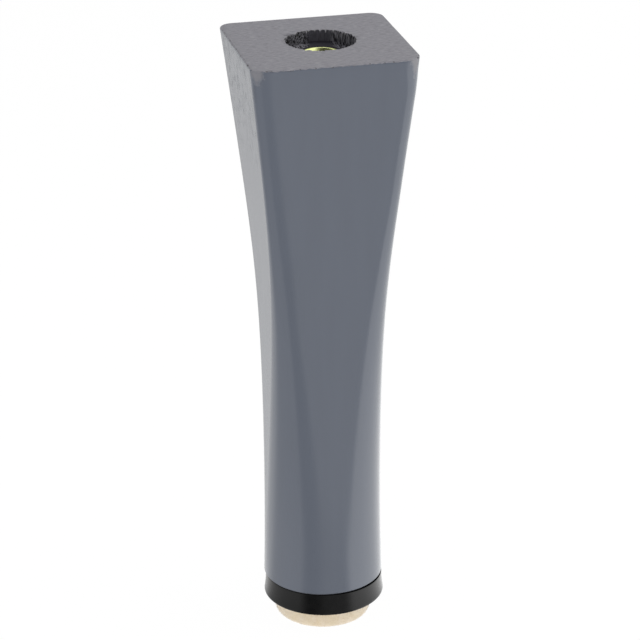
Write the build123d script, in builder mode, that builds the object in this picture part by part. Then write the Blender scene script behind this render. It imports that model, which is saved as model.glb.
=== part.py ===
import os
from math import cos, radians

from build123d import *

os.makedirs("parts", exist_ok=True)

# A wooden furniture leg that stands on its felt pad, +Z up, in millimetres.
# The origin is on the floor, under the middle of the square top.

# Heights of the stack, from the floor up
LEG_HEIGHT = 200.0
FELT_STAND = 7.2
CAP_HEIGHT = 7.7

# Wooden body: a square top that narrows to a neck and turns round at the foot
TOP_WIDTH = 53.8
NECK_WIDTH = 34.8
NECK_DROP = 83.0
FOOT_DIAMETER = 39.5
FOOT_FLAT = 0.6
CORNER_RADIUS = 4.5
SQUARE_DROP = 40.0
ROUND_RISE = 9.0
SECTION_STEPS = 24
TOP_EDGE_BREAK = 0.6
FOOT_EDGE_BREAK = 0.4

# Mounting hole in the top, a little off the middle as drilled
DRILL_X = 0.9
DRILL_Y = 1.2
COUNTERBORE_DIAMETER = 22.5
COUNTERBORE_DEPTH = 4.2
BOLT_RELIEF_DEPTH = 14.0

# Threaded insert: screw-in nut for an M8 bolt, turned in with a hex key
HEX_ACROSS_FLATS = 8.0
HEX_DEPTH = 6.0
HEX_TURN = -22.0
LEAD_IN_DIAMETER = 11.2
THREAD_BORE = 6.65
INSERT_WALL = 1.9
INSERT_LENGTH = 15.0
INSERT_EDGE = 0.3
INSERT_SHOULDER = 2.0

# Foot cap: moulded disc that flares downwards, with a ribbed spigot
CAP_SHIFT = 0.25
CAP_INSET = 0.2
CAP_FLARE = 0.6
CAP_TOP_EDGE = 0.8
CAP_BOTTOM_EDGE = 1.0
CAP_RIM = 3.6
SPIGOT_HOLE_DIAMETER = 12.0
SPIGOT_HOLE_DEPTH = 22.0
SPIGOT_CLEARANCE = 0.4
SPIGOT_END_GAP = 2.0
SPIGOT_TIP_CHAMFER = 1.0
RIB_COUNT = 3
RIB_HEIGHT = 1.2

# Felt pad, glued by hand into the seat under the cap, a little off its middle
FELT_SEAT_DEPTH = 2.0
FELT_CLEARANCE = 0.4
FELT_SHIFT = -0.3
FELT_EDGE = 1.2

# Levels and fits that follow from these
wood_base = FELT_STAND + CAP_HEIGHT
counterbore_floor = LEG_HEIGHT - COUNTERBORE_DEPTH
insert_base = counterbore_floor - INSERT_LENGTH
insert_radius = HEX_ACROSS_FLATS / 2 / cos(radians(30)) + INSERT_WALL
cap_top_radius = FOOT_DIAMETER / 2 - CAP_INSET
cap_bottom_radius = cap_top_radius + CAP_FLARE
felt_seat_radius = cap_bottom_radius - CAP_RIM
spigot_hole_radius = SPIGOT_HOLE_DIAMETER / 2
spigot_length = SPIGOT_HOLE_DEPTH - SPIGOT_END_GAP

# The flank of each face, half width against height: nearly straight above and below the neck
with BuildLine() as flank:
    neck = (NECK_WIDTH / 2, LEG_HEIGHT - NECK_DROP)
    Bezier((FOOT_DIAMETER / 2, wood_base), neck, neck, (TOP_WIDTH / 2, LEG_HEIGHT))


def corner_radius(half_width, height):
    """Corner radius of a section: small in the square part, growing to a full round at the foot."""
    square_end = LEG_HEIGHT - SQUARE_DROP
    round_end = wood_base + ROUND_RISE
    share = (square_end - height) / (square_end - round_end)
    share = min(max(share, 0.0), 1.0)
    eased = share * share * (3 - 2 * share)
    full_round = half_width - FOOT_FLAT / 2
    return CORNER_RADIUS + (full_round - CORNER_RADIUS) * eased


# Wooden body, lofted through close rounded squares along the flank, then drilled from both ends
with BuildPart() as wooden_leg:
    for step in range(SECTION_STEPS + 1):
        station = flank.line @ (step / SECTION_STEPS)
        width = 2 * station.X
        with BuildSketch(Plane.XY.offset(station.Y)):
            RectangleRounded(width, width, corner_radius(station.X, station.Y))
    loft(ruled=True)
    chamfer(wooden_leg.faces().sort_by(Axis.Z)[-1].edges(), TOP_EDGE_BREAK)
    chamfer(wooden_leg.faces().sort_by(Axis.Z)[0].edges(), FOOT_EDGE_BREAK)
    with Locations((DRILL_X, DRILL_Y, LEG_HEIGHT)):
        CounterBoreHole(
            radius=insert_radius,
            counter_bore_radius=COUNTERBORE_DIAMETER / 2,
            counter_bore_depth=COUNTERBORE_DEPTH,
            depth=COUNTERBORE_DEPTH + INSERT_LENGTH,
        )
    with Locations((DRILL_X, DRILL_Y, insert_base)):
        Hole(radius=insert_radius - INSERT_SHOULDER, depth=BOLT_RELIEF_DEPTH)
    with Locations(Location((CAP_SHIFT, 0, wood_base), (180, 0, 0))):
        Hole(radius=spigot_hole_radius, depth=SPIGOT_HOLE_DEPTH)
wooden_leg.part.label = "wooden_leg"
export_step(wooden_leg.part, "parts/wooden_leg.step")

# Threaded insert, flush with the floor of the counterbore
with BuildPart() as threaded_insert:
    with BuildSketch(Plane.XY.offset(insert_base)):
        with Locations((DRILL_X, DRILL_Y)):
            Circle(insert_radius)
    extrude(amount=INSERT_LENGTH)
    chamfer(threaded_insert.edges().sort_by(Axis.Z)[-1], INSERT_EDGE)
    with BuildSketch(Plane.XY.offset(counterbore_floor)):
        with Locations((DRILL_X, DRILL_Y)):
            RegularPolygon(HEX_ACROSS_FLATS / 2, 6, major_radius=False, rotation=HEX_TURN)
    extrude(amount=-HEX_DEPTH, mode=Mode.SUBTRACT)
    with Locations((DRILL_X, DRILL_Y, counterbore_floor)):
        CounterSinkHole(THREAD_BORE / 2, LEAD_IN_DIAMETER / 2, counter_sink_angle=90)
threaded_insert.part.label = "threaded_insert"
export_step(threaded_insert.part, "parts/threaded_insert.step")

# Foot cap, flaring downwards, its spigot gripped in the drilled foot by its ribs
with BuildPart() as foot_cap:
    with BuildSketch(Plane.XY.offset(FELT_STAND)):
        with Locations((CAP_SHIFT, 0)):
            Circle(cap_bottom_radius)
    with BuildSketch(Plane.XY.offset(wood_base)):
        with Locations((CAP_SHIFT, 0)):
            Circle(cap_top_radius)
    loft()
    chamfer(foot_cap.edges().sort_by(Axis.Z)[-1], CAP_TOP_EDGE)
    fillet(foot_cap.edges().sort_by(Axis.Z)[0], CAP_BOTTOM_EDGE)
    with BuildSketch(Plane.XY.offset(wood_base)):
        with Locations((CAP_SHIFT, 0)):
            Circle(spigot_hole_radius - SPIGOT_CLEARANCE)
    extrude(amount=spigot_length)
    chamfer(foot_cap.edges().sort_by(Axis.Z)[-1], SPIGOT_TIP_CHAMFER)
    for rib in range(RIB_COUNT):
        rib_rise = spigot_length * (rib + 1) / (RIB_COUNT + 1)
        with BuildSketch(Plane.XY.offset(wood_base + rib_rise)):
            with Locations((CAP_SHIFT, 0)):
                Circle(spigot_hole_radius)
        extrude(amount=-RIB_HEIGHT)
    with Locations(Location((CAP_SHIFT, 0, FELT_STAND), (180, 0, 0))):
        Hole(radius=felt_seat_radius, depth=FELT_SEAT_DEPTH)
foot_cap.part.label = "foot_cap"
export_step(foot_cap.part, "parts/foot_cap.step")

# Felt pad, a thick disc with a soft lower edge
with BuildPart() as felt_pad:
    with BuildSketch():
        with Locations((CAP_SHIFT + FELT_SHIFT, 0)):
            Circle(felt_seat_radius - FELT_CLEARANCE)
    extrude(amount=FELT_STAND + FELT_SEAT_DEPTH)
    chamfer(felt_pad.edges().sort_by(Axis.Z)[0], FELT_EDGE)
felt_pad.part.label = "felt_pad"
export_step(felt_pad.part, "parts/felt_pad.step")
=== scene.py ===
from math import cos, pi, radians, sin

import bmesh
import bpy
from mathutils import Matrix, Vector, noise


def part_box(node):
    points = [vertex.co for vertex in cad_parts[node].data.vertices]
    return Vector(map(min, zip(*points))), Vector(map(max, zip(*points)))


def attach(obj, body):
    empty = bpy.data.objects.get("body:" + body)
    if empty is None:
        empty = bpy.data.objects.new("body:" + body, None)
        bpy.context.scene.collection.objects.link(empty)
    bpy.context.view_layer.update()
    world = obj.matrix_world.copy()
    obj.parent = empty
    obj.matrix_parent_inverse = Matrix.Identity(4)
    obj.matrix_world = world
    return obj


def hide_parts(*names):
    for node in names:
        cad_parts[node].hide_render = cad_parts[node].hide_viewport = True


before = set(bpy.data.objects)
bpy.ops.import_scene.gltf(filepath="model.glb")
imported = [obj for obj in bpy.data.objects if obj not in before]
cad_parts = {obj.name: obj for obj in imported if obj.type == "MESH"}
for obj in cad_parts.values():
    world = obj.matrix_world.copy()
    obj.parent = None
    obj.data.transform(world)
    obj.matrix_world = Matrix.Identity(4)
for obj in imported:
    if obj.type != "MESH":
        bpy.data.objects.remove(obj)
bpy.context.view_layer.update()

# The leg is one block of close-grained hardwood, sawn to a curve on all four sides and sanded round
# towards the foot. It is sprayed with a satin grey lacquer, then cut off square at the top and drilled
# from both ends, so the top is bare of gloss and the counterbore has torn, dark-stained fibres.
wood_low, wood_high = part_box("wooden_leg")
insert_low, insert_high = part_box("threaded_insert")
cap_low, cap_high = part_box("foot_cap")

LEG_SIZES = {
    "Foot level": wood_low.z,
    "Neck level": 0.1170,
    "Top level": wood_high.z,
    "Foot half": 0.01975,
    "Neck half": 0.0174,
    "Top half": 0.0269,
    "Foot flat half": 0.0003,
    "Corner": 0.0045,
    "Square end": 0.1600,
    "Round end": 0.0239,
    "Foot edge": 0.0004,
    "Top edge": 0.0006,
    "Drill X": (insert_low.x + insert_high.x) / 2,
    "Drill Y": (insert_low.y + insert_high.y) / 2,
    "Counterbore": 0.01125,
    "Insert hole": (insert_high.x - insert_low.x) / 2,
    "Insert top": insert_high.z,
    "Insert base": insert_low.z,
    "Relief": 0.00452,
    "Relief depth": 0.0140,
    "Spigot X": (cap_low.x + cap_high.x) / 2,
    "Spigot hole": 0.0060,
    "Spigot depth": 0.0220,
    "Torn fibre": 0.0015,
    "Chipped rim": 0.0011,
    "Nicked edge": 0.0006,
    "Drawn corner": 0.0035,
    "Worn tip": 0.0020,
    "Tip height": 0.0120,
}
RUBBED_AND_LIT_SPOT = (0.0256, 0.0256, 0.1994)
FLECKED_FROM = 0.150
FLECKED_TO = 0.190
LEG_SHARP_EDGE = radians(38)
LEG_AROUND = 400
LEG_RINGS = {
    "spigot end": 2,
    "spigot wall": 5,
    "base": 8,
    "foot edge": 3,
    "flank": 96,
    "top edge": 5,
    "top": 26,
    "wall": 16,
    "floor": 6,
    "bore": 5,
    "shoulder": 2,
    "relief": 4,
    "relief end": 2,
}


class Wire:
    """A socket in a node tree: arithmetic on it adds Math nodes, and add() makes any other node."""

    def __init__(self, tree, socket=None):
        self.tree = tree
        self.socket = socket

    def add(self, kind, settings=None, inputs=None, output=0):
        node = self.tree.nodes.new(kind)
        for name, value in (settings or {}).items():
            setattr(node, name, value)
        for name, value in (inputs or {}).items():
            if isinstance(value, Wire):
                self.tree.links.new(value.socket, node.inputs[name])
            else:
                node.inputs[name].default_value = value
        return Wire(self.tree, node.outputs[output])

    def out(self, name):
        return Wire(self.tree, self.socket.node.outputs[name])

    def maths(self, operation, *values):
        return self.add("ShaderNodeMath", {"operation": operation}, dict(enumerate(values)))

    def __add__(self, other):
        return self.maths("ADD", self, other)

    def __sub__(self, other):
        return self.maths("SUBTRACT", self, other)

    def __rsub__(self, other):
        return self.maths("SUBTRACT", other, self)

    def __mul__(self, other):
        return self.maths("MULTIPLY", self, other)

    def __truediv__(self, other):
        return self.maths("DIVIDE", self, other)

    def __pow__(self, other):
        return self.maths("POWER", self, other)

    __radd__ = __add__
    __rmul__ = __mul__

    def ramp(self, low, high, smooth=True):
        kind = {"interpolation_type": "SMOOTHSTEP" if smooth else "LINEAR"}
        return self.add("ShaderNodeMapRange", kind, {"Value": self, "From Min": low, "From Max": high})

    def vector(self, operation, *values, output="Vector"):
        return self.add("ShaderNodeVectorMath", {"operation": operation}, dict(enumerate(values)), output)

    def grain(self, place, stretch, detail=2.0, roughness=0.5):
        spread = self.vector("MULTIPLY", place, stretch)
        values = {"Vector": spread, "Scale": 1.0, "Detail": detail, "Roughness": roughness}
        return self.add("ShaderNodeTexNoise", None, values)

    def tint(self, share, first, second):
        return self.add("ShaderNodeMix", {"data_type": "RGBA"}, {0: share, 6: first, 7: second}, output=2)


def srgb(red, green, blue):
    """A colour as it is seen on a screen, 0 to 255, as the linear colour that a shader takes."""
    def linear(value):
        value = value / 255
        return value / 12.92 if value <= 0.04045 else ((value + 0.055) / 1.055) ** 2.4

    return (linear(red), linear(green), linear(blue), 1.0)


def new_finish(name):
    """A new material, with a wire in its tree, its shader and the place on the piece in millimetres."""
    material = bpy.data.materials.new(name)
    material.use_nodes = True
    wire = Wire(material.node_tree)
    shader = material.node_tree.nodes["Principled BSDF"]
    place = wire.add("ShaderNodeTexCoord", output="Object")
    millimetres = wire.vector("MULTIPLY", place, (1000.0, 1000.0, 1000.0))
    return material, wire, shader, millimetres


def feed(shader, **sockets):
    """Links the patterns to the shader's sockets, named with underscores for spaces."""
    for name, wire in sockets.items():
        wire.tree.links.new(wire.socket, shader.inputs[name.replace("_", " ").title()])


def mix_shaders(material, share, shader, other):
    """Puts two shaders on a material, the second one where the share is 1."""
    nodes, links = material.node_tree.nodes, material.node_tree.links
    first = Wire(material.node_tree, shader.outputs[0])
    mixed = share.add("ShaderNodeMixShader", None, {0: share, 1: first, 2: other})
    links.new(mixed.socket, nodes["Material Output"].inputs["Surface"])


def torn_wood(wire, mm, spot):
    """The counterbore's wood: cut clean at the back, in tufts on one side and in slits on the other; its
    floor is painted darker than its wall, a painted shade at the bottom of the hole.
    """
    across = spot.out("X") - 1000 * LEG_SIZES["Drill X"]
    deep = spot.out("Y") - 1000 * LEG_SIZES["Drill Y"]
    off_axis = (across * across + deep * deep) ** 0.5
    above_floor = (spot.out("Z") - 1000 * LEG_SIZES["Insert top"]).ramp(0.2, 0.7)
    tufts = wire.grain(mm, (2.2, 2.2, 1.6), 3.0, 0.7)
    slits = wire.grain(mm, (2.4, 2.4, 0.4), 3.0, 0.6)
    fallen = wire.grain(mm, (2.4, 0.4, 0.4), 3.0, 0.6)
    torn = slits + (tufts - slits) * (1 - across.ramp(-1.0, 1.0))
    torn = fallen + (torn - fallen) * above_floor
    reached = above_floor.maths("MAXIMUM", above_floor, off_axis.ramp(6.8, 8.2))
    ripped = ((0 - across).ramp(0.5, 3.5) + across.ramp(4.5, 7.0) * 0.7) * reached
    clean_cut_and_floor_shade = wire.tint(torn.ramp(0.30, 0.70), srgb(64, 63, 69), srgb(78, 77, 84))
    # painted shade: the counterbore's floor is coloured darker than the wall above it
    clean_cut_and_floor_shade = wire.tint(above_floor, srgb(55, 54, 60), clean_cut_and_floor_shade)
    fibres = wire.tint(torn.ramp(0.42, 0.59), srgb(16, 16, 19), srgb(128, 127, 133))
    return torn, wire.tint(ripped, clean_cut_and_floor_shade, fibres)


def make_lacquer():
    material, wire, shader, mm = new_finish("satin grey lacquer")
    shader.inputs["IOR"].default_value = 1.55
    spot = wire.add("ShaderNodeSeparateXYZ", None, {0: mm})
    end = wire.add("ShaderNodeAttribute", {"attribute_name": "end_face"}, output="Fac")
    bore = wire.add("ShaderNodeAttribute", {"attribute_name": "bore"}, output="Fac")
    chip = wire.add("ShaderNodeAttribute", {"attribute_name": "chip"}, output="Fac")

    # the paint: it sinks into the pores and is flecked high on one face; just above the cap's joint it is
    # painted dark, a painted shadow line
    pores = wire.grain(mm, (2.4, 2.4, 0.22), 2.0).ramp(0.60, 0.74)
    cloud = wire.grain(mm, (0.22, 0.22, 0.02), 3.0)
    peel = wire.grain(mm, (1.6, 1.6, 1.3), 2.0)
    mirrored = wire.vector("ABSOLUTE", mm)
    beside = wire.add("ShaderNodeSeparateXYZ", None, {0: mirrored})
    left_face = (0 - spot.out("X") - beside.out("Y")).ramp(0.5, 3.0)
    flecks = wire.grain(mm, (0.40, 0.40, 0.28), 4.0, 0.65).ramp(0.42, 0.74)
    flecks = flecks * left_face * spot.out("Z").ramp(1000 * FLECKED_FROM, 1000 * FLECKED_TO)
    # painted shadow: the lowest part of a millimetre of the leg is coloured dark and made rough where it
    # meets the cap
    painted_joint_shadow = 1 - (spot.out("Z") - 1000 * LEG_SIZES["Foot level"]).ramp(0.1, 0.6)
    shade = pores * 0.06 + (cloud - 0.5) * 0.3 + 0.15
    paint = wire.tint(shade, srgb(107, 113, 125), srgb(94, 99, 109))
    paint = wire.tint(flecks * 0.25 + painted_joint_shadow * 0.6, paint, srgb(66, 66, 70))

    # the four corners are rubbed through to the primer just under the top; on the right-hand corners the
    # patch is painted larger and lighter, a painted highlight on the corner's curve
    offset = wire.vector("SUBTRACT", mirrored, [1000 * part for part in RUBBED_AND_LIT_SPOT])
    oval = wire.vector("MULTIPLY", offset, (0.42, 0.42, 0.21))
    reach = wire.vector("LENGTH", oval, output="Value")
    # painted highlight: the right-hand corners' patches are made larger and lighter
    right_highlight = spot.out("X").ramp(-5.0, 5.0)
    uneven = wire.grain(mm, (0.45, 0.45, 0.35), 4.0, 0.65) - 0.5
    rubbed_and_lit = 1 - (reach + uneven * 1.3 - right_highlight * 0.2).ramp(0.45, 1.25)
    primer_and_highlight = wire.tint(right_highlight, srgb(132, 132, 138), srgb(146, 146, 150))

    # the sawn top: streaked and specked, with an uneven, nicked edge and a chipped rim round the hole
    streaks = wire.grain(mm, (0.45, 2.2, 1.0), 4.0, 0.7)
    specks = wire.grain(mm, (0.9, 2.0, 1.0), 3.0, 0.6).ramp(0.66, 0.76)
    sawn = wire.tint(streaks.ramp(0.25, 0.75), srgb(116, 115, 121), srgb(155, 154, 160))
    sawn = wire.tint(specks * 0.40, sawn, srgb(94, 92, 96))
    sawn = wire.tint(rubbed_and_lit * (1 - end), sawn, primer_and_highlight)
    edge_wear = wire.grain(mm, (0.9, 0.9, 0.9), 4.0)
    cut = (end + (edge_wear - 0.5) * 0.9).ramp(0.30, 0.42)
    bare = cut.maths("MAXIMUM", cut, rubbed_and_lit)
    on_edge = end.ramp(0.05, 0.25) * (1 - end.ramp(0.75, 1.0))
    nicked = on_edge * wire.grain(mm, (0.45, 0.45, 0.45), 3.0, 0.6).ramp(0.56, 0.62)
    chipped = chip * wire.grain(mm, (1.5, 1.5, 1.5), 2.0).ramp(0.42, 0.56)
    colour = wire.tint(nicked, wire.tint(bare, paint, sawn), srgb(80, 79, 84))
    colour = wire.tint(chipped, colour, srgb(182, 181, 184))

    # the bore's colour carries the painted shade on the counterbore's floor
    torn, stain_and_floor_shade = torn_wood(wire, mm, spot)
    stain_and_floor_shade = wire.tint(chipped, stain_and_floor_shade, srgb(170, 169, 173))
    gloss = 0.18 + (cloud - 0.5) * 0.05 + flecks * 0.16 + painted_joint_shadow * 0.5
    matt = bare.maths("MAXIMUM", bare, bore)
    roughness = gloss + (0.74 - gloss) * matt
    paint_relief = (peel * 0.05 - pores * 0.16) * (1 - matt)
    sawn_relief = (streaks * 0.5 - specks * 0.6) * bare * (1 - bore)
    relief = paint_relief + sawn_relief + torn * bore * 3.0
    bump = wire.add("ShaderNodeBump", None, {"Strength": 0.35, "Distance": 0.0001, "Height": relief})
    feed(shader, base_color=colour, roughness=roughness, normal=bump)
    dull = {"Base Color": stain_and_floor_shade, "Roughness": 0.95, "Specular IOR Level": 0.1, "Normal": bump}
    mix_shaders(material, bore, shader, wire.add("ShaderNodeBsdfPrincipled", None, dull))
    return material


def leg_tree(material):
    """The leg's whole skin as one net of rings, from the spigot hole's end round to the bolt relief's."""
    tree = bpy.data.node_groups.new("square to round leg", "GeometryNodeTree")
    tree.interface.new_socket("Leg", in_out="OUTPUT", socket_type="NodeSocketGeometry")
    for name in LEG_SIZES:
        tree.interface.new_socket(name, in_out="INPUT", socket_type="NodeSocketFloat")
    wire = Wire(tree)
    given = wire.add("NodeGroupInput")
    size = {name: given.out(name) for name in LEG_SIZES}
    ring_count = sum(LEG_RINGS.values())
    spans = {"Size X": 1.0, "Size Y": float(ring_count)}
    points = {"Vertices X": LEG_AROUND + 1, "Vertices Y": ring_count + 1}
    net = wire.add("GeometryNodeMeshGrid", None, {**spans, **points})
    spot = wire.add("ShaderNodeSeparateXYZ", None, {0: wire.add("GeometryNodeInputPosition")})
    turn = spot.out("X") + 0.5
    ring = spot.out("Y") + ring_count / 2

    done = {}
    first_ring = {}
    passed = 0
    for stretch, count in LEG_RINGS.items():
        first_ring[stretch] = passed
        done[stretch] = ring.ramp(passed, passed + count, smooth=False)
        passed += count

    # the flank: one curve from the foot to the top, drawn towards the neck
    start = size["Foot edge"] / (3 * (size["Neck level"] - size["Foot level"]))
    stop = 1 - size["Top edge"] / (3 * (size["Top level"] - size["Neck level"]))
    along = start + (stop - start) * done["flank"]
    low = (1 - along) ** 3
    middle = 3 * along * (1 - along)
    high = along ** 3
    level = low * size["Foot level"] + middle * size["Neck level"] + high * size["Top level"]
    half = low * size["Foot half"] + middle * size["Neck half"] + high * size["Top half"]
    rounding = ((size["Square end"] - level) / (size["Square end"] - size["Round end"])).ramp(0.0, 1.0)
    corner = size["Corner"] + (half - size["Foot flat half"] - size["Corner"]) * rounding

    # edges broken at the foot and rounded at the top, where handling has nicked the paint
    quarter_turn = done["top edge"] * (pi / 2)
    before_foot = 1 - done["foot edge"]
    inset = size["Foot edge"] * before_foot
    inset = inset + size["Top edge"] * (1 - quarter_turn.maths("COSINE", quarter_turn))
    level = level - size["Foot edge"] * before_foot
    level = level + size["Top edge"] * quarter_turn.maths("SINE", quarter_turn)
    full_turn = turn * (2 * pi)
    compass = {"X": full_turn.maths("COSINE", full_turn), "Y": full_turn.maths("SINE", full_turn)}
    round_edge = wire.add("ShaderNodeCombineXYZ", None, compass)
    nicks = wire.grain(round_edge, (26.0, 26.0, 1.0), 3.0, 0.6).ramp(0.60, 0.80)
    across_edge = done["top edge"] * pi
    nick = size["Nicked edge"] * nicks * across_edge.maths("SINE", across_edge)
    inset = inset + nick
    level = level - nick

    # sanding has drawn one front corner out along the front and worn the tip of the other
    quarters = turn * 4
    quarter = quarters.maths("FLOOR", quarters + 0.00001)
    front_left = quarter.maths("COMPARE", quarter, 2.0, 0.5)
    front_right = quarter.maths("COMPARE", quarter, 3.0, 0.5)
    near_top = level.ramp(size["Top level"] - size["Tip height"], size["Top level"])
    drawn = size["Drawn corner"] * front_left * (1 - rounding.ramp(0.0, 0.35))
    corner = corner + size["Worn tip"] * front_right * near_top

    # each section: a square with rounded corners, taken a quarter at a time
    within = quarters - quarter
    arc = within.ramp(0.25, 0.75, smooth=False) * (pi / 2)
    first_flat = within.ramp(0.0, 0.25, smooth=False)
    second_flat = within.ramp(0.75, 1.0, smooth=False)
    arc_side = arc.maths("COSINE", arc)
    arc_front = arc.maths("SINE", arc)
    side = (half - corner - drawn) * (1 - second_flat) + (corner + drawn - inset) * arc_side
    front = (half - corner) * first_flat + (corner - inset) * arc_front
    facing = quarter * (pi / 2)
    facing_x = facing.maths("COSINE", facing)
    facing_y = facing.maths("SINE", facing)
    out_x = side * facing_x - front * facing_y
    out_y = side * facing_y + front * facing_x

    def about(centre_x, centre_y):
        """Directions from a drilled hole's axis to the outline."""
        away_x = out_x - centre_x
        away_y = out_y - centre_y
        length = (away_x * away_x + away_y * away_y) ** 0.5
        return away_x / length, away_y / length

    # the drilled top: the sawn face, the counterbore and the insert's hole below it
    aim_x, aim_y = about(size["Drill X"], size["Drill Y"])
    fade = 1 - done["top"]
    to_hole = 1 - fade * fade
    sunk = size["Top level"] - size["Insert top"]
    level = level - sunk * done["wall"] - (size["Insert top"] - size["Insert base"]) * done["bore"]
    level = level - size["Relief depth"] * done["relief"]
    radius = size["Counterbore"] + (size["Insert hole"] - size["Counterbore"]) * done["floor"]
    radius = radius + (size["Relief"] - size["Insert hole"]) * done["shoulder"]
    radius = radius - size["Relief"] * done["relief end"]
    across = wire.add("ShaderNodeCombineXYZ", None, {"X": aim_x, "Y": aim_y, "Z": level})
    fibres = wire.grain(across, (21.0, 21.0, 240.0), 3.0, 0.6)
    splits = wire.grain(across, (7.0, 7.0, 60.0), 2.0)
    far_side = aim_y.ramp(-0.7, -0.1)
    roughly = 0.3 + 0.7 * far_side * ((0 - aim_x).ramp(0.05, 0.3) + aim_x.ramp(0.4, 0.65))
    radius = radius + size["Torn fibre"] * roughly * (fibres + splits * 0.8 - 0.9) * (1 - done["floor"])
    at_rim = to_hole.ramp(0.90, 1.0) * (1 - done["wall"].ramp(0.0, 0.3))
    chips = wire.grain(across, (17.0, 17.0, 0.0), 3.0, 0.6).ramp(0.46, 0.72)
    level = level - size["Chipped rim"] * (0.3 + 0.7 * far_side) * chips * at_rim

    # the drilled foot: the base and the hole for the cap's spigot
    low_x, low_y = about(size["Spigot X"], 0.0)
    to_spigot = 1 - done["base"]
    spigot_radius = size["Spigot hole"] * done["spigot end"]
    level = level + size["Spigot depth"] * (1 - done["spigot wall"])

    hole_x = size["Drill X"] + radius * aim_x
    hole_y = size["Drill Y"] + radius * aim_y
    spigot_x = size["Spigot X"] + spigot_radius * low_x
    spigot_y = spigot_radius * low_y
    final_x = out_x + (hole_x - out_x) * to_hole + (spigot_x - out_x) * to_spigot
    final_y = out_y + (hole_y - out_y) * to_hole + (spigot_y - out_y) * to_spigot
    final = wire.add("ShaderNodeCombineXYZ", None, {"X": final_x, "Y": final_y, "Z": level})

    in_bore = ring.ramp(first_ring["wall"], first_ring["wall"] + 1, smooth=False)
    marks = {"end_face": done["top edge"], "bore": in_bore, "chip": chips * at_rim}
    per_point = {"data_type": "FLOAT", "domain": "POINT"}
    for name, value in marks.items():
        stored = {"Geometry": net, "Name": name, "Value": value}
        net = wire.add("GeometryNodeStoreNamedAttribute", per_point, stored)
    net = wire.add("GeometryNodeSetPosition", None, {"Geometry": net, "Position": final})
    net = wire.add("GeometryNodeMergeByDistance", None, {"Geometry": net, "Distance": 0.000001})
    net = wire.add("GeometryNodeSetShadeSmooth", None, {"Geometry": net, "Shade Smooth": True})
    net = wire.add("GeometryNodeRealizeInstances", None, {"Geometry": net})
    net = wire.add("GeometryNodeSetMaterial", None, {"Geometry": net, "Material": material})
    finish = tree.nodes.new("NodeGroupOutput")
    tree.links.new(net.socket, finish.inputs[0])
    return tree


def grown(name, tree, sizes, base=None):
    """A piece that a geometry tree makes, as a plain mesh."""
    piece = bpy.data.objects.new(name, base or bpy.data.meshes.new(name))
    bpy.context.scene.collection.objects.link(piece)
    modifier = piece.modifiers.new(name, "NODES")
    modifier.node_group = tree
    for item in tree.interface.items_tree:
        if item.in_out == "INPUT" and item.name in sizes:
            modifier[item.identifier] = sizes[item.name]
    bpy.context.view_layer.update()
    evaluated = piece.evaluated_get(bpy.context.evaluated_depsgraph_get())
    mesh = bpy.data.meshes.new_from_object(evaluated)
    piece.modifiers.clear()
    piece.data = mesh
    return piece


wooden_leg = grown("painted_leg", leg_tree(make_lacquer()), LEG_SIZES)
wooden_leg.data.set_sharp_from_angle(angle=LEG_SHARP_EDGE)
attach(wooden_leg, "root")
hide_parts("wooden_leg")

# The threaded insert is a turned steel nut with a yellow passivated finish. It is screwed into the
# drilled hole with a hex key until it is flush with the counterbore's floor. A bevel and a cone lead
# the bolt into its hex socket, and an M8 thread below takes it.
INSERT_RADIUS = (insert_high.x - insert_low.x) / 2
INSERT_EDGE = 0.0003
HEX_FLATS = 0.0080
HEX_DEPTH = 0.0060
HEX_TURN = radians(-22.0)
LEAD_IN_RADIUS = 0.0056
BEVEL_WIDTH = 0.00012
BEVEL_DROP = 0.00005
BORE_RADIUS = 0.003325
THREAD_DEPTH = 0.00062
THREAD_PITCH = 0.00125
LEAD_IN_STEPS = 12
STEPS_PER_TURN = 8
INSERT_AROUND = 72


def skin(name, rings, material, looped=False):
    """A closed mesh drawn over rings of points that all have the same count."""
    around = len(rings[0])
    faces = []
    for row in range(len(rings) if looped else len(rings) - 1):
        here = row * around
        there = (row + 1) % len(rings) * around
        for step in range(around):
            after = (step + 1) % around
            faces.append((here + step, here + after, there + after, there + step))
    mesh = bpy.data.meshes.new(name)
    mesh.from_pydata([point for ring in rings for point in ring], [], faces)
    shell = bmesh.new()
    shell.from_mesh(mesh)
    bmesh.ops.remove_doubles(shell, verts=shell.verts, dist=0.0000005)
    bmesh.ops.recalc_face_normals(shell, faces=shell.faces)
    shell.to_mesh(mesh)
    shell.free()
    mesh.shade_smooth()
    mesh.set_sharp_from_angle(angle=radians(40))
    mesh.materials.append(material)
    piece = bpy.data.objects.new(name, mesh)
    bpy.context.scene.collection.objects.link(piece)
    return piece


def ring_at(centre_x, centre_y, level, radius, around, turn=0.0):
    """One ring of points; radius is a number or a rule that gives it from the angle."""
    points = []
    for step in range(around):
        angle = turn + 2 * pi * step / around
        reach = radius(angle) if callable(radius) else radius
        points.append((centre_x + reach * cos(angle), centre_y + reach * sin(angle), level))
    return points


def make_yellow_metal():
    material, wire, shader, mm = new_finish("yellow passivated steel")
    shader.inputs["Metallic"].default_value = 1.0
    film = wire.grain(mm, (0.9, 0.9, 0.9), 3.0)
    turned = wire.grain(mm, (0.5, 0.5, 14.0), 2.0)
    colour = wire.tint(film.ramp(0.30, 0.70), srgb(228, 234, 172), srgb(214, 220, 144))
    roughness = 0.20 + film * 0.16
    bump = wire.add("ShaderNodeBump", None, {"Strength": 0.25, "Distance": 0.00005, "Height": turned})
    feed(shader, base_color=colour, roughness=roughness, normal=bump)
    return material


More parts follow.
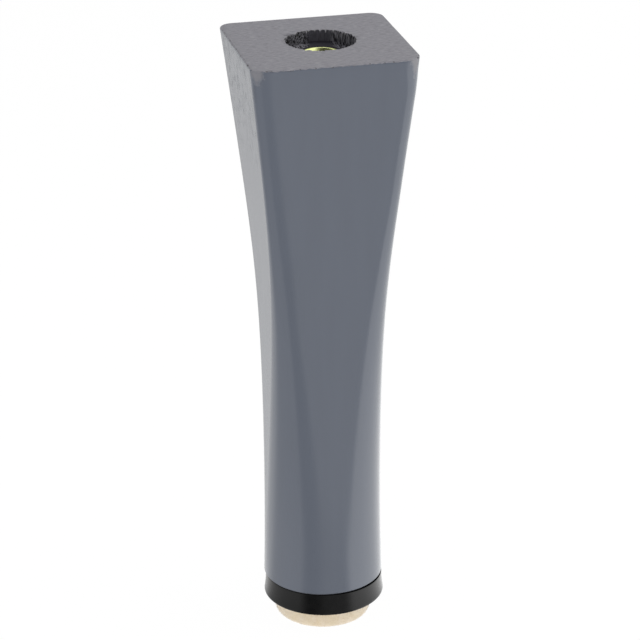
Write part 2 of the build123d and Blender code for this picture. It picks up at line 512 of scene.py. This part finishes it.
def insert_rings():
    centre_x = (insert_low.x + insert_high.x) / 2
    centre_y = (insert_low.y + insert_high.y) / 2
    top, base = insert_high.z, insert_low.z

    def socket(cone):
        return lambda angle: max(cone, HEX_FLATS / 2 / cos((angle - HEX_TURN) % (pi / 3) - pi / 6))

    def thread(level):
        def radius(angle):
            phase = (level / THREAD_PITCH + angle / (2 * pi)) % 1.0
            return BORE_RADIUS + THREAD_DEPTH * (1 - abs(2 * phase - 1))
        return radius

    socket_floor = top - HEX_DEPTH
    stations = [
        (base, INSERT_RADIUS),
        (top - INSERT_EDGE, INSERT_RADIUS),
        (top, INSERT_RADIUS - INSERT_EDGE),
        (top, LEAD_IN_RADIUS + BEVEL_WIDTH),
    ]
    lead_in = LEAD_IN_RADIUS - HEX_FLATS / 2
    for step in range(LEAD_IN_STEPS + 1):
        drop = lead_in * step / LEAD_IN_STEPS
        stations.append((top - BEVEL_DROP - drop, socket(LEAD_IN_RADIUS - drop)))
    stations += [(socket_floor, socket(0.0)), (socket_floor, BORE_RADIUS + THREAD_DEPTH)]
    thread_steps = round((socket_floor - base) / THREAD_PITCH * STEPS_PER_TURN)
    for step in range(1, thread_steps):
        level = socket_floor + (base - socket_floor) * step / thread_steps
        stations.append((level, thread(level)))
    stations.append((base, BORE_RADIUS + THREAD_DEPTH))
    rings = []
    for level, radius in stations:
        rings.append(ring_at(centre_x, centre_y, level, radius, INSERT_AROUND, HEX_TURN))
    return rings


threaded_insert = skin("insert_nut", insert_rings(), make_yellow_metal(), looped=True)
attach(threaded_insert, "root")
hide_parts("threaded_insert")

# The foot cap is moulded in black plastic. It flares towards its rounded lower edge, sits a little to
# one side of the leg, and is held by a ribbed spigot pushed into the hole in the foot.
felt_low, felt_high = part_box("felt_pad")

CAP_X = (cap_low.x + cap_high.x) / 2
CAP_TOP = wood_low.z
CAP_BASE = cap_low.z
CAP_TOP_RADIUS = 0.01955
CAP_BASE_RADIUS = (cap_high.x - cap_low.x) / 2
CAP_TOP_EDGE = 0.0005
CAP_BASE_EDGE = 0.0006
SEAT_RADIUS = 0.01655
SEAT_DEPTH = felt_high.z - cap_low.z
SPIGOT_RADIUS = 0.0056
SPIGOT_TIP = 0.0010
RIB_RADIUS = 0.0060
RIB_HEIGHT = 0.0012
RIB_COUNT = 3
FLARE_POWER = 2.2
FLARE_STEPS = 12
BASE_EDGE_STEPS = 8
TOP_EDGE_STEPS = 6
# where the painted shadow in the joint starts across the cap, and how fast it grows taller
JOINT_SHADOW_FROM = -0.013
JOINT_SHADOW_SLOPE = 0.024
CAP_AROUND = 160


def make_black_plastic():
    material, wire, shader, mm = new_finish("satin black plastic")
    shader.inputs["Specular IOR Level"].default_value = 0.30
    mottle = wire.grain(mm, (0.5, 0.5, 0.5), 3.0)
    spark = wire.grain(mm, (7.0, 7.0, 7.0), 2.0)
    colour = wire.tint(mottle, srgb(18, 18, 19), srgb(27, 27, 27))
    roughness = 0.18 + mottle * 0.10
    relief = spark + mottle * 0.5
    bump = wire.add("ShaderNodeBump", None, {"Strength": 0.3, "Distance": 0.00003, "Height": relief})
    feed(shader, base_color=colour, roughness=roughness, normal=bump)

    # a painted shadow: a band of unlit black along the cap's top under the wood, taller towards one side
    spot = wire.add("ShaderNodeSeparateXYZ", None, {0: mm})
    shadow_reach = (spot.out("X") - 1000 * JOINT_SHADOW_FROM) * JOINT_SHADOW_SLOPE
    below_joint = 1000 * CAP_TOP - spot.out("Z")
    painted_joint_shadow = (shadow_reach - below_joint).ramp(-0.15, 0.15)
    painted_shadow_finish = {"Base Color": srgb(8, 8, 10), "Roughness": 0.9, "Specular IOR Level": 0.0}
    mix_shaders(material, painted_joint_shadow, shader, wire.add("ShaderNodeBsdfPrincipled", None, painted_shadow_finish))
    return material


def cap_profile():
    """Half section of the cap, from the middle of the felt's seat round to the tip of the spigot."""
    seat = CAP_BASE + SEAT_DEPTH
    profile = [(0.0, seat), (SEAT_RADIUS, seat), (SEAT_RADIUS, CAP_BASE)]
    for step in range(BASE_EDGE_STEPS + 1):
        angle = pi / 2 * step / BASE_EDGE_STEPS
        profile.append((
            CAP_BASE_RADIUS - CAP_BASE_EDGE * (1 - sin(angle)),
            CAP_BASE + CAP_BASE_EDGE * (1 - cos(angle)),
        ))
    side_low = CAP_BASE + CAP_BASE_EDGE
    side_high = CAP_TOP - CAP_TOP_EDGE
    for step in range(1, FLARE_STEPS + 1):
        share = step / FLARE_STEPS
        flare = (1 - share) ** FLARE_POWER
        profile.append((
            CAP_TOP_RADIUS + (CAP_BASE_RADIUS - CAP_TOP_RADIUS) * flare,
            side_low + (side_high - side_low) * share,
        ))
    for step in range(1, TOP_EDGE_STEPS + 1):
        angle = pi / 2 * step / TOP_EDGE_STEPS
        profile.append((
            CAP_TOP_RADIUS - CAP_TOP_EDGE * (1 - cos(angle)),
            side_high + CAP_TOP_EDGE * sin(angle),
        ))
    profile.append((SPIGOT_RADIUS, CAP_TOP))
    spigot_length = cap_high.z - CAP_TOP
    for rib in range(RIB_COUNT):
        rib_top = CAP_TOP + spigot_length * (rib + 1) / (RIB_COUNT + 1)
        profile += [
            (SPIGOT_RADIUS, rib_top - RIB_HEIGHT),
            (RIB_RADIUS, rib_top - RIB_HEIGHT),
            (RIB_RADIUS, rib_top),
            (SPIGOT_RADIUS, rib_top),
        ]
    profile += [
        (SPIGOT_RADIUS, cap_high.z - SPIGOT_TIP),
        (SPIGOT_RADIUS - SPIGOT_TIP, cap_high.z),
        (0.0, cap_high.z),
    ]
    return profile


cap_rings = [ring_at(CAP_X, 0.0, level, radius, CAP_AROUND) for radius, level in cap_profile()]
foot_cap = skin("moulded_cap", cap_rings, make_black_plastic())
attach(foot_cap, "root")
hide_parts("foot_cap")

# The felt pad is a disc punched from thick pressed wool felt and glued into the seat under the cap.
# Its cut side is soft and uneven, its lower edge is rounded by wear, and loose fibres stand off it.
FELT_X = (felt_low.x + felt_high.x) / 2
FELT_RADIUS = (felt_high.x - felt_low.x) / 2
FELT_TOP = felt_high.z
FELT_ROUND = 0.0018
FELT_UNEVEN = 0.0003
FELT_SIDE_STEPS = 18
FELT_EDGE_STEPS = 10
FELT_BASE_STEPS = 12
FELT_AROUND = 180
FUZZ_SIZES = {
    "Density": 2400000.0,
    "Fibre length": 0.00055,
    "Fibre width": 0.00005,
    "Fibre tip": 0.000008,
    "Lowest fibre": 0.0007,
    "Highest fibre": cap_low.z - 0.0003,
}


def make_felt():
    material, wire, shader, mm = new_finish("beige wool felt")
    shader.inputs["Sheen Weight"].default_value = 1.0
    shader.inputs["Sheen Roughness"].default_value = 0.5
    wool = wire.grain(mm, (3.2, 3.2, 4.2), 4.0, 0.65)
    cloud = wire.grain(mm, (0.35, 0.35, 0.35), 2.0)
    colour = wire.tint(wool.ramp(0.30, 0.70), srgb(239, 218, 184), srgb(251, 236, 208))
    colour = wire.tint(cloud.ramp(0.40, 0.75) * 0.5, colour, srgb(252, 236, 216))
    roughness = 0.90 + (wool - 0.5) * 0.1
    bump = wire.add("ShaderNodeBump", None, {"Strength": 0.6, "Distance": 0.0002, "Height": wool})
    feed(shader, base_color=colour, roughness=roughness, normal=bump)
    return material


def felt_rings():
    """Rings from the glued top down the cut side, round the worn edge and in under the pad."""
    profile = [(0.0, FELT_TOP), (FELT_RADIUS * 0.5, FELT_TOP), (FELT_RADIUS, FELT_TOP)]
    for step in range(1, FELT_SIDE_STEPS):
        profile.append((FELT_RADIUS, FELT_TOP + (FELT_ROUND - FELT_TOP) * step / FELT_SIDE_STEPS))
    for step in range(FELT_EDGE_STEPS + 1):
        angle = pi / 2 * step / FELT_EDGE_STEPS
        profile.append((
            FELT_RADIUS - FELT_ROUND * (1 - cos(angle)),
            FELT_ROUND * (1 - sin(angle)),
        ))
    for step in range(1, FELT_BASE_STEPS + 1):
        profile.append(((FELT_RADIUS - FELT_ROUND) * (1 - step / FELT_BASE_STEPS), 0.0))
    rings = []
    for radius, level in profile:
        def uneven(angle, radius=radius, level=level):
            waves = Vector((cos(angle) * 3.2, sin(angle) * 3.2, level * 260))
            tufts = Vector((cos(angle) * 21, sin(angle) * 21, level * 1300))
            shrink = 0.6 * (1 - noise.noise(waves)) + 0.35 * (1 - noise.noise(tufts))
            return radius * (1 - FELT_UNEVEN * shrink / FELT_RADIUS)
        rings.append(ring_at(FELT_X, 0.0, level, uneven, FELT_AROUND))
    return rings


def fuzz_tree(material):
    """Short fibres leaning off the felt's side, each a thin three-sided spike."""
    tree = bpy.data.node_groups.new("felt fuzz", "GeometryNodeTree")
    tree.interface.new_socket("Felt", in_out="OUTPUT", socket_type="NodeSocketGeometry")
    tree.interface.new_socket("Felt", in_out="INPUT", socket_type="NodeSocketGeometry")
    for name in FUZZ_SIZES:
        tree.interface.new_socket(name, in_out="INPUT", socket_type="NodeSocketFloat")
    wire = Wire(tree)
    given = wire.add("NodeGroupInput")
    felt = given.out("Felt")
    place = wire.add("GeometryNodeInputPosition")
    level = wire.add("ShaderNodeSeparateXYZ", None, {0: place}, output="Z")
    shown = level.maths("GREATER_THAN", level, given.out("Lowest fibre"))
    shown = shown * level.maths("LESS_THAN", level, given.out("Highest fibre"))
    scatter = {"Mesh": felt, "Selection": shown, "Density": given.out("Density"), "Seed": 7}
    points = wire.add("GeometryNodeDistributePointsOnFaces", None, scatter)
    spike = {
        "Vertices": 3,
        "Side Segments": 2,
        "Radius Top": given.out("Fibre tip"),
        "Radius Bottom": given.out("Fibre width"),
        "Depth": given.out("Fibre length"),
    }
    fibre = wire.add("GeometryNodeMeshCone", None, spike)
    lean_limits = {"Min": (-0.9, -0.9, 0.0), "Max": (0.9, 0.9, 6.28), "Seed": 3}
    lean = wire.add("FunctionNodeRandomValue", {"data_type": "FLOAT_VECTOR"}, lean_limits)
    turning = {"Rotation": points.out("Rotation"), "Rotate By": lean}
    turned = wire.add("FunctionNodeRotateRotation", {"rotation_space": "LOCAL"}, turning)
    scale_limits = {2: 0.35, 3: 1.0, "Seed": 5}
    sized = wire.add("FunctionNodeRandomValue", {"data_type": "FLOAT"}, scale_limits, output=1)
    placed = {"Points": points, "Instance": fibre, "Rotation": turned, "Scale": sized}
    fuzz = wire.add("GeometryNodeInstanceOnPoints", None, placed)
    joined = wire.add("GeometryNodeJoinGeometry")
    tree.links.new(felt.socket, joined.socket.node.inputs[0])
    tree.links.new(fuzz.socket, joined.socket.node.inputs[0])
    whole = wire.add("GeometryNodeRealizeInstances", None, {"Geometry": joined})
    whole = wire.add("GeometryNodeSetMaterial", None, {"Geometry": whole, "Material": material})
    finish = tree.nodes.new("NodeGroupOutput")
    tree.links.new(whole.socket, finish.inputs[0])
    return tree


felt_finish = make_felt()
felt_body = skin("felt_body", felt_rings(), felt_finish)
felt_mesh = felt_body.data
bpy.data.objects.remove(felt_body)
felt_pad = grown("wool_pad", fuzz_tree(felt_finish), FUZZ_SIZES, felt_mesh)
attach(felt_pad, "root")
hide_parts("felt_pad")

# The studio is a white floor that keeps a faint shadow, in a white surround that mirrors darker on the
# camera's side. Four soft lamps light the leg: one over the camera, a broad one overhead and one on
# each side.
FLOOR_SIZE = 6.0
FRONT = radians(-13.24)
LIGHT_REACH = 1.3
AMBIENT = 0.22
FLOOR_SHADOW = 0.06
FLOOR_WHITE = 1.03
FLOOR_MIRROR = 1.12
FAR_FADE = 0.24
FAR_FLOOR = (0.10, 0.42)
NEAR_FLOOR = (0.07, 0.13)
SURROUND = 1.01
RIGHT_GAIN = 0.47
LEFT_SIDE = radians(-66)
FLOOR_LEFT_LOSS = 0.47
FAR_LEFT_LOSS = 0.32
FOOT_LEFT_LOSS = 0.34
CEILING_LEFT_LOSS = 0.1
# each shade: the middle and the half width of its arc, the softness of its ends, and its brightness
FLOOR_SHADE = (radians(7), radians(43), radians(4), 0.50)
FOOT_SHADE = (radians(4.5), radians(37), radians(8), 0.30)
CEILING_SHADE = (radians(-27), radians(85), radians(4), 0.05)
SHADE_CORE = radians(-23)
CORE_LOSS = 0.95


def heading(angle):
    """A level direction, an angle round from the camera's side of the leg towards its right."""
    return (sin(FRONT + angle), -cos(FRONT + angle), 0.0)


def mirrored_glow(wire, place, left_loss, middle, half, soft, front_level):
    """How bright the surround mirrors, by the way from the leg: white but for the camera's side."""
    level = wire.vector("NORMALIZE", wire.vector("MULTIPLY", place, (1.0, 1.0, 0.0)))

    def towards(angle):
        return wire.vector("DOT_PRODUCT", level, heading(angle), output="Value")

    shade = towards(middle).ramp(cos(half + soft), cos(half - soft))
    core = towards(SHADE_CORE).ramp(cos(radians(30)), cos(radians(6)))
    right_side = towards(radians(90)).ramp(-0.3, 0.5)
    left_side = towards(LEFT_SIDE).ramp(cos(radians(46)), cos(radians(22)))
    around = SURROUND + RIGHT_GAIN * right_side - left_loss * left_side
    return around * (1 - shade) + front_level * (1 - CORE_LOSS * core) * shade


def make_floor():
    material, wire, shader, mm = new_finish("white studio floor")
    shader.inputs["Base Color"].default_value = (0.85, 0.85, 0.85, 1.0)
    shader.inputs["Roughness"].default_value = 0.9
    rays = wire.add("ShaderNodeLightPath", output="Is Camera Ray")
    clear = rays + rays.out("Is Transmission Ray")
    glossy = rays.out("Is Glossy Ray")
    diffuse = rays.out("Is Diffuse Ray")
    metres_off = wire.vector("LENGTH", mm, output="Value") * 0.001
    far = metres_off.ramp(*FAR_FLOOR)
    near = 1 - metres_off.ramp(*NEAR_FLOOR)
    table = mirrored_glow(wire, mm, FLOOR_LEFT_LOSS + FAR_LEFT_LOSS * far, *FLOOR_SHADE)
    by_foot = mirrored_glow(wire, mm, FOOT_LEFT_LOSS, *FOOT_SHADE)
    table = table + (by_foot - table) * near
    glow = clear * FLOOR_WHITE + diffuse + glossy * (FLOOR_MIRROR - FAR_FADE * far) * table
    white = wire.add("ShaderNodeEmission", None, {"Color": glow, "Strength": 1.0})
    seen = (clear + glossy) * (1 - FLOOR_SHADOW) + diffuse
    mix_shaders(material, seen, shader, white)
    return material


floor_mesh = bpy.data.meshes.new("floor")
floor_corners = []
for side_x, side_y in ((-1, -1), (1, -1), (1, 1), (-1, 1)):
    floor_corners.append((side_x * FLOOR_SIZE / 2, side_y * FLOOR_SIZE / 2, 0))
floor_mesh.from_pydata(floor_corners, [], [(0, 1, 2, 3)])
floor = bpy.data.objects.new("floor", floor_mesh)
bpy.context.scene.collection.objects.link(floor)
floor_mesh.materials.append(make_floor())

world = bpy.data.worlds.new("white studio")
world.use_nodes = True
bpy.context.scene.world = world
sky = Wire(world.node_tree)
rays = sky.add("ShaderNodeLightPath", output="Is Camera Ray")
clear = rays + rays.out("Is Transmission Ray")
glossy = rays.out("Is Glossy Ray")
direction = sky.add("ShaderNodeTexCoord", output="Generated")
ceiling = mirrored_glow(sky, direction, CEILING_LEFT_LOSS, *CEILING_SHADE)
strength = clear + glossy * ceiling + AMBIENT * (1 - clear - glossy)
background = world.node_tree.nodes["Background"]
background.inputs["Color"].default_value = (1.0, 1.0, 1.0, 1.0)
world.node_tree.links.new(strength.socket, background.inputs["Strength"])


def soft_box(name, angle, rise, width, height, radiance):
    """An area lamp that faces the leg; radiance 1 is as bright as a white wall."""
    lamp = bpy.data.lights.new(name, "AREA")
    lamp.shape = "RECTANGLE"
    lamp.size, lamp.size_y = width, height
    lamp.energy = radiance * pi * width * height
    holder = bpy.data.objects.new(name, lamp)
    bpy.context.scene.collection.objects.link(holder)
    back = Vector(heading(radians(angle))) * cos(radians(rise)) + Vector((0, 0, sin(radians(rise))))
    holder.location = Vector((0, 0, wood_high.z / 2)) + back * LIGHT_REACH
    holder.rotation_mode = "QUATERNION"
    holder.rotation_quaternion = back.to_track_quat("Z", "Y")
    holder.visible_camera = False
    holder.visible_glossy = False


soft_box("front light", angle=-5, rise=20, width=1.2, height=0.7, radiance=1.65)
soft_box("top light", angle=0, rise=88, width=1.4, height=1.4, radiance=1.26)
soft_box("right light", angle=95, rise=25, width=1.4, height=1.0, radiance=1.38)
soft_box("left light", angle=-85, rise=12, width=1.0, height=0.8, radiance=0.8)

# The camera stands as it did for the photograph: a long lens, turned to show the front and one side
# of the leg, and looking slightly down on its top.
CAMERA_RISE = radians(22.85)
CAMERA_ROLL = radians(-0.457)
CAMERA_DISTANCE = 0.87025
CAMERA_ASIDE = -0.000329
CAMERA_UP = 0.005215
LENS = 150.03

back = Vector((sin(FRONT) * cos(CAMERA_RISE), -cos(FRONT) * cos(CAMERA_RISE), sin(CAMERA_RISE)))
level_right = Vector((cos(FRONT), sin(FRONT), 0))
level_up = back.cross(level_right)
right = cos(CAMERA_ROLL) * level_right + sin(CAMERA_ROLL) * level_up
up = cos(CAMERA_ROLL) * level_up - sin(CAMERA_ROLL) * level_right
camera_data = bpy.data.cameras.new("camera")
camera_data.lens = LENS
camera_data.sensor_width = 36.0
camera = bpy.data.objects.new("camera", camera_data)
bpy.context.scene.collection.objects.link(camera)
middle = Vector((0, 0, wood_high.z / 2))
stand = middle + back * CAMERA_DISTANCE + right * CAMERA_ASIDE + up * CAMERA_UP
camera.matrix_world = Matrix.Translation(stand) @ Matrix((right, up, back)).transposed().to_4x4()
bpy.context.scene.camera = camera
bpy.context.scene.view_settings.view_transform = "Standard"
